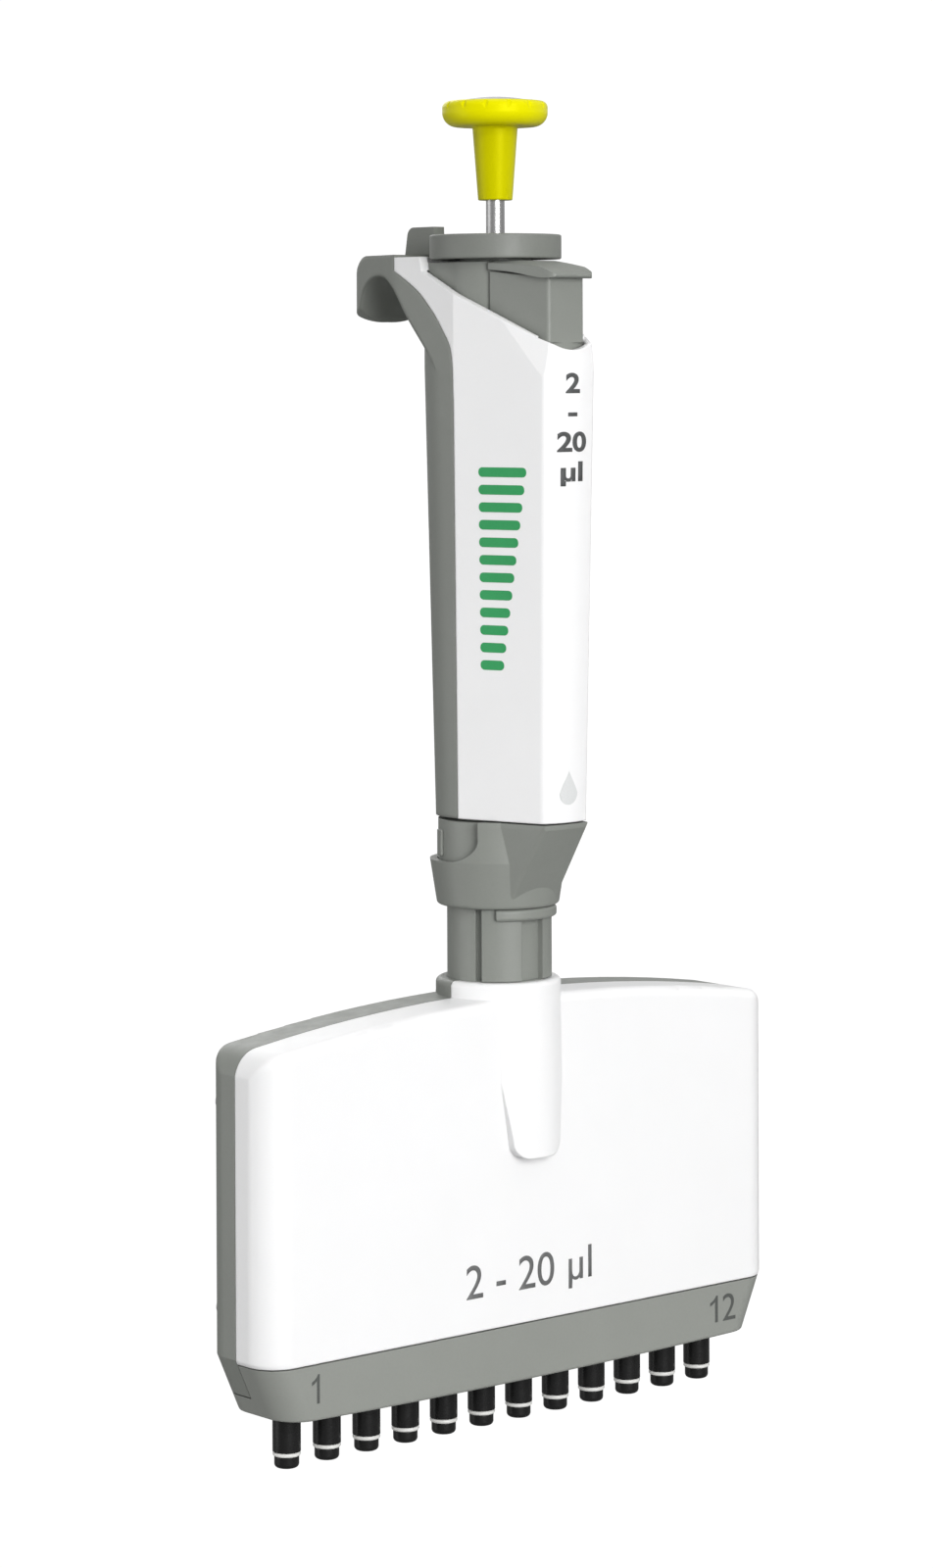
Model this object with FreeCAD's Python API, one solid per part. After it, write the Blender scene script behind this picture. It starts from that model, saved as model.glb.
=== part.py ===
# Twelve-channel mechanical pipette, modelled as an assembly of separate pieces.
# Units: millimetres. +Z is up along the handle, X runs along the nozzle row,
# -Y is the front (label side) and +Y is the back (finger hook side).
# Origin: centre of the nozzle row, in the plane of the nozzle ends.
import FreeCAD, Part
import math
import os

V = FreeCAD.Vector

# ----------------------------------------------------------------- dimensions
PITCH = 9.0            # channel pitch
N_CH = 12              # channels
# head
HW = 60.6              # head half width
HT = 9.0               # head half thickness
RV = 5.5               # radius of the head's upright edges
RC = 5.5               # radius of the head's top corners
ARC_TOP = 78.4         # height of the head's crown
ARC_R = 364.0          # radius of the crown
SEAM_Z = 19.65         # lower edge of the front cover
SKIRT_HW = 55.4        # half width of the ejector bar at its foot
SKIRT_Z = 9.15         # height of the ejector bar's foot at the middle
SKIRT_BOW = 0.75       # rise of the foot towards its ends
BACK_Z = 13.35         # lower edge of the back cover
WALL = 1.6             # casing wall
GAP = 0.25             # gap between casing and ejector bar
COLLAR_R = 11.4        # neck collar of the head
COLLAR_Z = 81.2
# nozzles
NOZ_R = 2.5             # tip seat, from NOZ_SEAT_Z0 to NOZ_SEAT_Z1
NOZ_SHANK_R = 2.15
NOZ_SEAT_Z0, NOZ_SEAT_Z1 = 2.9, 8.9
NOZ_TIP_R = 2.2
ORING_Z = 2.45
ORING_r = 0.42
BORE_R = 0.95
# neck
NECK_R = 9.3
NECK_UP_R = 7.9
NECK_BORE = 6.48
NECK_Z0, NECK_Z1, NECK_Z2 = 71.5, 94.4, 112.0
# handle
HZ0 = 110.6            # lower end of the handle shell
SEAM_Y = -0.9          # seam between shell and back cover
HWALL = 1.5
DISC_R, DISC_Z0, DISC_Z1 = 12.0, 211.65, 216.1
CORE_R, CORE_Z0, CORE_Z1 = 9.2, 195.6, 211.1
# knob
KNOB_R, KNOB_Z0, KNOB_Z1 = 9.6, 235.8, 240.4
STEM_Z0, STEM_R0, STEM_R1 = 222.4, 3.15, 4.1
ROD_R = 1.7
# strokes (used for clearances only)
PRESS = 12.0
EJECT = 5.5
CHX = [(i - (N_CH - 1) / 2.0) * PITCH for i in range(N_CH)]

OUT = {}


def add(name, shape):
    if isinstance(shape, (list, tuple)):
        shape = Part.makeCompound(list(shape))
    OUT[name] = shape


def cyl(r, z0, z1, x=0.0, y=0.0):
    return Part.makeCylinder(r, z1 - z0, V(x, y, z0), V(0, 0, 1))


def cyly(r, y0, y1, x, z):
    return Part.makeCylinder(r, y1 - y0, V(x, y0, z), V(0, 1, 0))


def cylx(r, x0, x1, y, z):
    return Part.makeCylinder(r, x1 - x0, V(x0, y, z), V(1, 0, 0))


def cone(r0, r1, z0, z1, x=0.0, y=0.0):
    return Part.makeCone(r0, r1, z1 - z0, V(x, y, z0), V(0, 0, 1))


def tube(ro, ri, z0, z1, x=0.0, y=0.0):
    return cyl(ro, z0, z1, x, y).cut(cyl(ri, z0 - 1, z1 + 1, x, y))


def box(x0, x1, y0, y1, z0, z1):
    return Part.makeBox(x1 - x0, y1 - y0, z1 - z0, V(x0, y0, z0))


def line(a, b):
    return Part.LineSegment(a, b).toShape()


def arc(a, m, b):
    return Part.Arc(a, m, b).toShape()


def poly_face(pts):
    pts = [V(*p) for p in pts]
    return Part.Face(Part.makePolygon(pts + [pts[0]]))


def yz_prism(edges, hx):
    """Closed wire in the plane X = -hx, pushed along X to +hx."""
    f = Part.Face(Part.Wire(edges))
    return f.extrude(V(2 * hx, 0, 0))


def rrect(hx, hy, r, z, cx=0.0, cy=0.0):
    k = r * (1 - math.sqrt(0.5))
    p = lambda x, y: V(cx + x, cy + y, z)
    e = [line(p(-hx + r, -hy), p(hx - r, -hy)),
         arc(p(hx - r, -hy), p(hx - k, -hy + k), p(hx, -hy + r)),
         line(p(hx, -hy + r), p(hx, hy - r)),
         arc(p(hx, hy - r), p(hx - k, hy - k), p(hx - r, hy)),
         line(p(hx - r, hy), p(-hx + r, hy)),
         arc(p(-hx + r, hy), p(-hx + k, hy - k), p(-hx, hy - r)),
         line(p(-hx, hy - r), p(-hx, -hy + r)),
         arc(p(-hx, -hy + r), p(-hx + k, -hy + k), p(-hx + r, -hy))]
    return Part.Wire(e)


def rprism(hx, hy, r, z0, z1):
    return Part.Face(rrect(hx, hy, r, z0)).extrude(V(0, 0, z1 - z0))


def helix_spring(r, wire, z0, z1, turns, x=0.0, y=0.0):
    h = z1 - z0 - 2 * wire - 0.04
    path = Part.makeHelix(h / turns, h, r)
    prof = Part.Wire(Part.makeCircle(wire, V(r, 0, 0), V(0, 1, 0)))
    s = Part.Wire(path).makePipeShell([prof], True, True)
    s.translate(V(x, y, z0 + wire + 0.02))
    return s


def fillet_try(s, radii, pick, label=""):
    edges = [e for e in s.Edges if pick(e)]
    for r in radii:
        try:
            t = s.makeFillet(r, edges)
            if t.isValid() and t.Volume > 0 and abs(t.Volume / s.Volume - 1) < 0.2 and len(t.Solids) == len(s.Solids):
                return t
        except Exception:
            pass
    print("no fillet", label, len(edges))
    return s


def zr(e):
    b = e.BoundBox
    return b.ZMin, b.ZMax


# ------------------------------------------------------------------- the head
def crown_pts(hw, top, rc):
    """Outline of the head in XZ: upright sides, arc crown, rounded corners."""
    zc = top - ARC_R
    # corner circle inside both the side x=hw and the crown circle of radius ARC_R
    cx = hw - rc
    cz = zc + math.sqrt((ARC_R - rc) ** 2 - cx ** 2)
    # tangent point on the crown
    d = math.hypot(cx, cz - zc)
    tx, tz = cx * ARC_R / d, zc + (cz - zc) * ARC_R / d
    a1 = math.atan2(tz - cz, tx - cx)
    am = a1 / 2.0
    mx, mz = cx + rc * math.cos(am), cz + rc * math.sin(am)
    return (hw, cz), (mx, mz), (tx, tz)


def head_prism(hw, top, rc, z0, y0, y1):
    s, m, t = crown_pts(hw, top, rc)
    P = lambda p: V(p[0], y0, p[1])
    M = lambda p: V(-p[0], y0, p[1])
    e = [line(V(-hw, y0, z0), V(hw, y0, z0)), line(V(hw, y0, z0), P(s)), arc(P(s), P(m), P(t)),
         arc(P(t), V(0, y0, top), M(t)), arc(M(t), M(m), M(s)), line(M(s), V(-hw, y0, z0))]
    return Part.Face(Part.Wire(e)).extrude(V(0, y1 - y0, 0))


def keel(sign):
    """Tapered rib that carries the neck collar down the face of the head."""
    c0 = Part.Wire(Part.makeCircle(COLLAR_R, V(0, 0, COLLAR_Z), V(0, 0, 1)))
    c1 = Part.Wire(Part.makeCircle(11.0, V(0, -sign * 1.1, 47.0), V(0, 0, 1)))
    k = Part.makeLoft([c0, c1], True, True)
    yy = -sign * 14.0
    w0, w1, zb, r = 10.2, 5.6, 49.6, 3.2
    zt = COLLAR_Z
    e = [line(V(w1, yy, zb + r), V(w0, yy, zt)), line(V(w0, yy, zt), V(-w0, yy, zt)), line(V(-w0, yy, zt), V(-w1, yy, zb + r)),
         arc(V(-w1, yy, zb + r), V(-w1 + r * 0.29, yy, zb + r * 0.29), V(-w1 + r, yy, zb)),
         line(V(-w1 + r, yy, zb), V(w1 - r, yy, zb)),
         arc(V(w1 - r, yy, zb), V(w1 - r * 0.29, yy, zb + r * 0.29), V(w1, yy, zb + r))]
    u = Part.Face(Part.Wire(e)).extrude(V(0, sign * 14.0, 0))
    return k.common(u)


def make_head_covers():
    a = head_prism(HW + 0.08, ARC_TOP, RC, 20.3, -HT - 0.05, HT + 0.05)
    b = rprism(HW, HT, RV, 20.3, 90)
    top = a.common(b)
    top = fillet_try(top, [1.8, 1.4, 1.0, 0.6], lambda e: zr(e)[0] > 70.5 and abs(abs(e.BoundBox.YMin) - HT) < 0.01 and abs(abs(e.BoundBox.YMax) - HT) < 0.01 and e.BoundBox.XLength > 30, "crown")
    low = Part.makeLoft([rrect(HW, HT, RV, 20.3), rrect(SKIRT_HW, HT, RV, SKIRT_Z - 0.2)], True, True)
    collar = cyl(COLLAR_R, 62, COLLAR_Z)
    collar = fillet_try(collar, [1.0], lambda e: zr(e)[0] > COLLAR_Z - 0.01, "collar")
    kf, kb = keel(1), keel(-1)
    outer = top.fuse(collar.common(head_prism(HW, COLLAR_Z + 3, RC, 66, -20, 20)))
    outer_f = outer.fuse(kf.common(box(-20, 20, -20, 0, 40, COLLAR_Z - 2.5)))
    outer_b = outer.fuse(kb.common(box(-20, 20, 0, 20, 40, COLLAR_Z - 2.5)))
    # inside space
    cav = head_prism(HW - WALL + 0.08, ARC_TOP - WALL, RC - 1.0, 20.3, -HT + WALL - 0.05, HT - WALL + 0.05).common(rprism(HW - WALL, HT - WALL, RV - WALL, 20.3, 90))
    cav = cav.fuse(Part.makeLoft([rrect(HW - WALL, HT - WALL, RV - WALL, 20.3), rrect(SKIRT_HW - WALL, HT - WALL, RV - WALL, SKIRT_Z - 0.2)], True, True))
    neck_hole = cyl(NECK_R + 0.06, 70.0, COLLAR_Z + 1)
    front = outer_f.common(box(-80, 80, -20, -0.06, 20.3, 90)).fuse(low.common(box(-80, 80, -20, -0.06, SEAM_Z, 20.3)))
    back = outer_b.common(box(-80, 80, 0.06, 20, 20.3, 90)).fuse(low.common(box(-80, 80, 0.06, 20, BACK_Z, 20.3)))
    front = front.removeSplitter().cut(cav).cut(neck_hole)
    back = back.removeSplitter().cut(cav).cut(neck_hole)
    # screw bosses
    bosses = [(56.6, 64.0), (-56.6, 64.0), (56.6, 28.0), (-56.6, 28.0), (21.0, 72.3), (-21.0, 72.3)]
    screws = []
    for (x, z) in bosses:
        lim = rprism(HW - 0.8, HT - 0.8, RV - 0.8, 15, 90)
        fb = cyly(2.2, -HT + 1.0, -0.06, x, z).common(lim)
        bb = cyly(2.2, 0.06, HT - 1.0, x, z).common(lim)
        front = front.fuse(fb).cut(cyly(0.95, -HT + 2.2, 1.0, x, z))
        back = back.fuse(bb).cut(cyly(1.15, -1.0, 12.0, x, z)).cut(cyly(2.05, 6.9, 12.0, x, z))
        sc = cyly(0.95, -5.6, 6.9, x, z).fuse(cyly(1.9, 6.9, 8.3, x, z))
        sc = sc.cut(box(x - 0.3, x + 0.3, 7.7, 9.0, z - 1.3, z + 1.3)).cut(box(x - 1.3, x + 1.3, 7.7, 9.0, z - 0.3, z + 0.3))
        screws.append(sc.removeSplitter())
    # bow at nothing here; soften the front cover's lower edge
    add("head_front_cover", front.removeSplitter())
    add("head_back_cover", back.removeSplitter())
    add("cover_screws", screws)
    # ejector bar: front wall, ends, floor and low back wall
    g = GAP
    full = low.common(box(-80, 80, -20, 20, SKIRT_Z - 1, SEAM_Z - g))
    bar = full.cut(box(-80, 80, -0.10, 20, BACK_Z - g, 40))
    inner = Part.makeLoft([rrect(HW - WALL, HT - WALL, RV - WALL, 20.3), rrect(SKIRT_HW - WALL, HT - WALL, RV - WALL, SKIRT_Z - 0.2)], True, True)
    bar = bar.cut(inner.common(box(-80, 80, -20, 20, 11.4, 40)))
    # bowed foot
    z0, z1, zb = SKIRT_Z, SKIRT_Z + SKIRT_BOW, SKIRT_Z - 5
    e = [line(V(-56, -12, zb), V(56, -12, zb)), line(V(56, -12, zb), V(56, -12, z1)), arc(V(56, -12, z1), V(0, -12, z0), V(-56, -12, z1)), line(V(-56, -12, z1), V(-56, -12, zb))]
    bar = bar.cut(Part.Face(Part.Wire(e)).extrude(V(0, 24, 0)))
    for x in CHX:
        bar = bar.cut(cyl(3.0, 5, 15, x, 0))
    bar = fillet_try(bar, [0.5, 0.3], lambda ed: zr(ed)[1] < z1 + 0.1 and ed.BoundBox.XLength > 60 and ed.BoundBox.YLength < 0.1, "bar foot")
    fr_screws = []
    for x in (-45.0, -18.0, 18.0, 45.0):
        bar = bar.cut(cyl(0.6, 9.9, 12, x, -4.2))
        fr_screws.append(cyl(0.6, 9.9, 12.9, x, -4.2).fuse(cyl(1.05, 12.9, 13.9, x, -4.2)).cut(box(x - 1.5, x + 1.5, -4.35, -4.05, 13.4, 15)))
    add("ejector_bar", bar)
    # ejector frame: light plate behind the front cover
    fr = box(-52, 52, -6.9, -5.4, 11.4, 66)
    fr = fr.fuse(box(-52, 52, -6.9, -3.3, 11.4, 12.9))
    fr = fr.fuse(box(-9, 9, -6.9, -5.4, 60, 70.0)).fuse(box(-9, 9, -6.9, 6.0, 68.2, 70.0))
    for (x0, x1) in ((-46, -30), (-24, -8), (8, 24), (30, 46)):
        fr = fr.cut(box(x0, x1, -8, -5, 20, 58))
    fr = fr.cut(box(-53, -34, -8, -5, 62, 70)).cut(box(34, 53, -8, -5, 62, 70))
    for s in (-1, 1):
        fr = fr.cut(Part.Face(Part.makePolygon([V(s * 53, -8, 40), V(s * 53, -8, 70), V(s * 26, -8, 70), V(s * 34, -8, 62), V(s * 46.5, -8, 62), V(s * 53, -8, 40)])).extrude(V(0, 5, 0)))
    fr = fr.cut(cyl(4.6, 60, 80))
    for x in (-45.0, -18.0, 18.0, 45.0):
        fr = fr.cut(cyl(0.6, 10, 14, x, -4.2))
    # keep clear of the ring of each nozzle's shoulder
    add("ejector_frame", fr.removeSplitter())
    add("ejector_bar_screws", fr_screws)
    tb = tube(6.4, 4.6, 70.0, 121.5).fuse(tube(8.2, 4.6, 121.5, 123.0))
    add("ejector_tube", tb.removeSplitter())


def make_head_inside():
    blk = box(-54, 54, -3.8, 6.8, 21, 30)
    for x in CHX:
        blk = blk.cut(cyl(NOZ_SHANK_R + 0.03, 20, 31, x, 0))
    for x in (-36.0, 36.0):
        blk = blk.cut(cyl(1.4, 25, 31, x, 0))
    for i in range(N_CH - 1):
        x = (CHX[i] + CHX[i + 1]) / 2
        blk = blk.cut(box(x - 1.2, x + 1.2, 3.4, 7, 22.5, 31))
    add("cylinder_block", blk)
    noz, rings, seals, pis = [], [], [], []
    for x in CHX:
        n = cyl(NOZ_TIP_R, 0, 2.0, x, 0)
        n = n.makeFillet(0.75, [e for e in n.Edges if zr(e)[1] < 0.01])
        n = n.fuse(cyl(1.72, 2.0, 2.9, x, 0)).fuse(cyl(NOZ_R, NOZ_SEAT_Z0, NOZ_SEAT_Z1, x, 0)).fuse(cyl(NOZ_SHANK_R, NOZ_SEAT_Z1, 30, x, 0)).fuse(cyl(3.0, 30, 40, x, 0))
        n = n.cut(cyl(0.6, -1, 22, x, 0)).cut(cyl(BORE_R, 21, 37, x, 0)).cut(cyl(2.0, 36, 41, x, 0))
        noz.append(n.removeSplitter())
        rings.append(Part.makeTorus(1.72 + ORING_r + 0.36, ORING_r, V(x, 0, ORING_Z), V(0, 0, 1)).fuse(tube(1.72 + 0.5, 1.73, ORING_Z - 0.35, ORING_Z + 0.35, x, 0)))
        seals.append(tube(1.95, 0.9, 36.2, 38.4, x, 0))
        pis.append(cyl(0.85, 35.0, 57.8, x, 0).fuse(cyl(1.6, 57.8, 59.5, x, 0)).removeSplitter())
    rings2 = []
    for x in CHX:
        # one plain band with a crowned outside
        prof = [V(x + 1.74, 0, ORING_Z - 0.36), V(x + 2.25, 0, ORING_Z - 0.36), V(x + 2.49, 0, ORING_Z), V(x + 2.25, 0, ORING_Z + 0.36), V(x + 1.74, 0, ORING_Z + 0.36)]
        w = Part.Wire([line(prof[0], prof[1]), arc(prof[1], prof[2], prof[3]), line(prof[3], prof[4]), line(prof[4], prof[0])])
        rings2.append(Part.Face(w).revolve(V(x, 0, 0), V(0, 0, 1), 360))
    add("nozzles", noz)
    add("nozzle_orings", rings2)
    add("piston_seals", seals)
    ret = box(-53.5, 53.5, -3.6, 5.2, 40, 41.5)
    for x in CHX:
        ret = ret.cut(cyl(1.15, 39, 42, x, 0))
    for x in (-36.0, 36.0):
        ret = ret.cut(cyl(1.4, 39, 42, x, 0))
    add("seal_retainer_plate", ret)
    add("guide_rods", [cyl(1.4, 25, 71, x, 0) for x in (-36.0, 36.0)])
    car = box(-53.6, 53.6, -3.2, 3.2, 56, 59.5)
    cap = box(-53.6, 53.6, -3.2, 3.2, 59.5, 61)
    for x in CHX:
        car = car.cut(cyl(0.85, 55, 59, x, 0)).cut(cyl(1.6, 57.8, 60, x, 0))
    for x in (-36.0, 36.0):
        car = car.cut(cyl(1.5, 55, 60, x, 0))
        cap = cap.cut(cyl(1.5, 59, 62, x, 0))
    car = car.cut(cyl(2.6, 55, 60, 0, 0)).fuse(cyl(2.6, 56, 59.5)).cut(cyl(1.2, 56.5, 60))
    cap = cap.cut(cyl(2.0, 59, 62))
    add("piston_carrier", car.removeSplitter())
    add("piston_clamp_plate", cap)
    add("pistons", pis)
    add("drive_rod", cyl(1.2, 56.5, 59.5).fuse(cyl(2.0, 59.5, 128.5)).removeSplitter())
    scs = []
    for x in (-27.0, -9.0, 9.0, 27.0):
        scs.append(cyl(1.5, 61, 61.9, x, 0).cut(box(x - 1.6, x + 1.6, -0.2, 0.2, 61.5, 62.5)))
    add("carrier_screws", scs)


def sector(r, z0, z1, a0, a1):
    """Solid pie slice between two directions in degrees."""
    return Part.makeCylinder(r, z1 - z0, V(0, 0, z0), V(0, 0, 1), a1 - a0).rotate(V(0, 0, 0), V(0, 0, 1), a0) or None


def pie(r, z0, z1, a0, a1):
    s = Part.makeCylinder(r, z1 - z0, V(0, 0, z0), V(0, 0, 1), a1 - a0)
    s.rotate(V(0, 0, 0), V(0, 0, 1), a0)
    return s


def make_neck():
    n = cyl(NECK_R, NECK_Z0, NECK_Z1)
    zt = NECK_Z1
    # raised pads each side of the front recess
    for (a0, a1) in ((211, 255), (285, 329)):
        n = n.fuse(pie(NECK_R + 0.45, COLLAR_Z + 0.15, zt, a0, a1))
    n = n.cut(pie(20, COLLAR_Z + 0.15, 92.4, 255, 285).cut(cyl(NECK_R - 0.75, 60, 100)))
    for (a0, a1) in ((202.5, 211), (329, 337.5), (86, 94)):
        n = n.cut(pie(20, COLLAR_Z + 0.15, zt + 1, a0, a1).cut(cyl(NECK_R - 0.8, 60, 100)))
    fl = pie(10.7, 92.3, 94.4, 227, 313)
    fl = fillet_try(fl, [0.6, 0.4], lambda e: e.BoundBox.XLength > 3 and zr(e)[0] > 92 and abs(math.hypot(e.Vertexes[0].X, e.Vertexes[0].Y) - 10.7) < 0.05 and abs(zr(e)[1] - zr(e)[0]) < 0.01, "neck lip")
    n = n.fuse(fl)
    n = n.fuse(cyl(NECK_UP_R, NECK_Z1 - 1, NECK_Z2))
    n = n.cut(tube(12, 7.4, 110.45, 111.55))
    n = n.cut(cyl(NECK_BORE, NECK_Z0 - 1, NECK_Z2 + 1))
    add("neck_sleeve", n.removeSplitter())
    ring = tube(8.6, 7.4, 110.5, 111.5).cut(box(-1.2, 1.2, 5, 12, 105, 115))
    add("neck_retaining_ring", ring)


# ------------------------------------------------------------------ the handle
def hz(z):
    """Handle section parameters at a height: front half width, front, back half width, back centre."""
    t = min(1.0, max(0.0, (z - HZ0) / (192.0 - HZ0)))
    wf = 5.2 + (6.0 - 5.2) * t
    fp = 18.6 + (20.3 - 18.6) * t
    wb = 10.3 + (11.0 - 10.3) * t
    yc = 1.46 + (3.1 - 1.46) * t
    return wf, fp, wb, yc


def corner(p0, p1, p2, r):
    """Tangent points and middle of the fillet arc at p1."""
    a = ((p0[0] - p1[0]), (p0[1] - p1[1])); b = ((p2[0] - p1[0]), (p2[1] - p1[1]))
    la, lb = math.hypot(*a), math.hypot(*b)
    a = (a[0] / la, a[1] / la); b = (b[0] / lb, b[1] / lb)
    ang = math.acos(a[0] * b[0] + a[1] * b[1])
    t = r / math.tan(ang / 2)
    t1 = (p1[0] + a[0] * t, p1[1] + a[1] * t)
    t2 = (p1[0] + b[0] * t, p1[1] + b[1] * t)
    bis = (a[0] + b[0], a[1] + b[1]); lm = math.hypot(*bis)
    dc = r / math.sin(ang / 2) - r
    m = (p1[0] + bis[0] / lm * dc, p1[1] + bis[1] / lm * dc)
    return t1, m, t2


def section(z, inset=0.0, rf=1.3, bow=0.7, params=None):
    wf, fp, wb, yc = params or hz(z)
    ys = SEAM_Y
    ta = (wb - wf) / (fp + ys)
    ca = math.cos(math.atan(ta))
    if inset:
        wf = wf + inset * ta - inset / ca
        fp = fp - inset
        wb = wb - inset
        rf = max(0.5, rf - inset * 0.5)
    t1, m, t2 = corner((-wf, -fp), (wf, -fp), (wb, ys), rf)
    P = lambda p: V(p[0], p[1], z)
    Q = lambda p: V(-p[0], p[1], z)
    e = [arc(Q(t1), V(0, -fp - bow, z), P(t1)), arc(P(t1), P(m), P(t2)), line(P(t2), P((wb, ys))), line(P((wb, ys)), P((wb, yc))),
         arc(P((wb, yc)), V(0, yc + wb, z), Q((wb, yc))), line(Q((wb, yc)), Q((wb, ys))), line(Q((wb, ys)), Q(t2)), arc(Q(t2), Q(m), Q(t1))]
    return Part.Wire(e)


def handle_loft(z0, z1, inset=0.0):
    out = None
    zs = [z0, 192.0, z1] if z0 < 192.0 < z1 else [z0, z1]
    for a, b in zip(zs[:-1], zs[1:]):
        s = Part.makeLoft([section(a, inset), section(b, inset)], True, True)
        out = s if out is None else out.fuse(s)
    return out.removeSplitter()


SEAM = [(-0.9, 186.0), (-0.8, 191.0), (-0.4, 194.5), (0.2, 196.3), (1.6, 198.3), (3.7, 201.0), (5.9, 203.3), (8.2, 205.4), (10.6, 207.0), (13.1, 208.4), (15.7, 209.7)]
SHELL_TOP = 212.2
HOOK_TOP = 212.7


def seam_curve(dy, dz, hx):
    c = Part.BSplineCurve()
    c.interpolate([V(-hx, y + dy, z + dz) for (y, z) in SEAM])
    return c.toShape()


def spline(pts, hx):
    c = Part.BSplineCurve()
    c.interpolate([V(-hx, y, z) for (y, z) in pts])
    return c.toShape()


def make_handle():
    hx = 14.0
    p = lambda y, z: V(-hx, y, z)
    outer = handle_loft(HZ0, 213.0)
    # rear flare: side walls run back over the hook
    hook_under = [(3.0, 190.0), (6.8, 195.2), (10.4, 199.2), (13.2, 202.6), (15.4, 205.6), (18.2, 208.0), (21.6, 208.9), (24.9, 208.4), (27.5, 206.5), (28.9, 203.8), (29.5, 201.8)]
    flare_profile = [spline(hook_under, hx),
                     arc(p(29.5, 201.8), p(30.8, 200.4), p(32.0, 201.9)),
                     spline([(32.0, 201.9), (32.3, 204.2), (31.9, 207.2), (30.8, 209.8), (28.9, 211.8), (25.8, HOOK_TOP)], hx),
                     line(p(25.8, HOOK_TOP), p(-0.9, HOOK_TOP)),
                     line(p(-0.9, HOOK_TOP), p(-0.9, 190.0)), line(p(-0.9, 190.0), p(3.0, 190.0))]
    flare = yz_prism(flare_profile, hx)
    # plan outline of the hook: full width at the handle, narrowing to a rounded lip
    wb = 11.0
    z = 180.0
    q = lambda x, y: V(x, y, z)
    c1 = Part.BSplineCurve(); c1.interpolate([q(wb, 14.0), q(wb - 0.25, 17.0), q(9.7, 21.5), q(8.9, 26.0), q(8.0, 29.6)])
    c2 = Part.BSplineCurve(); c2.interpolate([q(-8.0, 29.6), q(-8.9, 26.0), q(-9.7, 21.5), q(-wb + 0.25, 17.0), q(-wb, 14.0)])
    plan = Part.Face(Part.Wire([line(q(-wb, -1), q(wb, -1)), line(q(wb, -1), q(wb, 14.0)), c1.toShape(), arc(q(8.0, 29.6), q(7.0, 31.4), q(5.0, 32.3)),
                                arc(q(5.0, 32.3), q(0, 32.7), q(-5.0, 32.3)), arc(q(-5.0, 32.3), q(-7.0, 31.4), q(-8.0, 29.6)), c2.toShape(), line(q(-wb, 14.0), q(-wb, -1))])).extrude(V(0, 0, 50))
    flare = flare.common(plan)
    # rounded lip seen from the back
    lip = Part.Face(Part.Wire([line(V(-12, 18, 216), V(-12, 18, 208.0)), arc(V(-12, 18, 208.0), V(-6.6, 18, 201.9), V(0, 18, 200.5)),
                               arc(V(0, 18, 200.5), V(6.6, 18, 201.9), V(12, 18, 208.0)), line(V(12, 18, 208.0), V(12, 18, 216)), line(V(12, 18, 216), V(-12, 18, 216))])).extrude(V(0, 20, 0))
    flare = flare.common(lip.fuse(box(-14, 14, -2, 18, 180, 215)))
    flare = flare.removeSplitter()
    flare = fillet_try(flare, [1.2, 0.8, 0.5], lambda e: e.BoundBox.YMin > 17.0 and e.BoundBox.YMax > 28.5 and e.BoundBox.XLength > 0.2 and (zr(e)[1] - zr(e)[0]) > 3, "hook top")
    body = outer.common(box(-20, 20, -30, 30, HZ0 - 1, HOOK_TOP)).fuse(flare)
    # ---- white shell
    shell_profile = [line(p(-30, HZ0), p(-30, 195.3)), line(p(-30, 195.3), p(-21.4, 195.3)), line(p(-21.4, 195.3), p(-20.0, 196.4)),
                     line(p(-20.0, 196.4), p(8.0, 209.5)), line(p(8.0, 209.5), p(8.4, SHELL_TOP)),
                     line(p(8.4, SHELL_TOP), p(15.7, SHELL_TOP)), line(p(15.7, SHELL_TOP), p(15.7, 209.7)),
                     seam_curve(0, 0, hx), line(p(-0.9, 186.0), p(-0.9, HZ0)), line(p(-0.9, HZ0), p(-30, HZ0))]
    shell_zone = yz_prism(shell_profile, hx)
    inner = handle_loft(HZ0 - 1, 209.7, HWALL)
    inner_back = box(-(wb - HWALL), wb - HWALL, -1.0, 14.4, 186.0, 209.7)
    shell = body.common(shell_zone).cut(inner).cut(inner_back).cut(cyl(CORE_R + 0.3, 190, 215)).cut(cyl(DISC_R + 0.35, DISC_Z0 - 0.5, 216))
    # way for the ejector button behind the front wall, with a dished top edge
    way = Part.Face(Part.makePolygon([V(-4.6, -19.5, 183.5), V(4.6, -19.5, 183.5), V(7.6, -6.4, 183.5), V(-7.6, -6.4, 183.5), V(-4.6, -19.5, 183.5)])).extrude(V(0, 0, 30))
    shell = shell.cut(way).cut(cyly(9.0, -24, -17.5, 0, 204.1))
    # leaning facets at the top front corners
    for sx in (-1, 1):
        n0 = V(sx * 8.55, -10.4, 201.4)
        n1 = V(sx * 5.95, -20.75, 188.2)
        d = n1.sub(n0)
        side = V(sx * 0.968, -0.25, 0)
        lean = V(side)
        m = d.cross(side)
        m.normalize()
        # plane turned inwards about the crease
        c, sn = math.cos(math.radians(11)), math.sin(math.radians(11))
        up = m if m.z > 0 else m.negative()
        tip = V(up.x * c - side.x * sn, up.y * c - side.y * sn, up.z * c - side.z * sn)
        d.normalize()
        a0 = n0.sub(d * 8.0); b0 = n1.add(d * 8.0)
        f = Part.Face(Part.makePolygon([a0, b0, b0.add(tip * 22.0), a0.add(tip * 22.0), a0]))
        shell = shell.cut(f.extrude(V(sx * 8.0, -2.0, 0)))
    shell = shell.removeSplitter()
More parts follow.
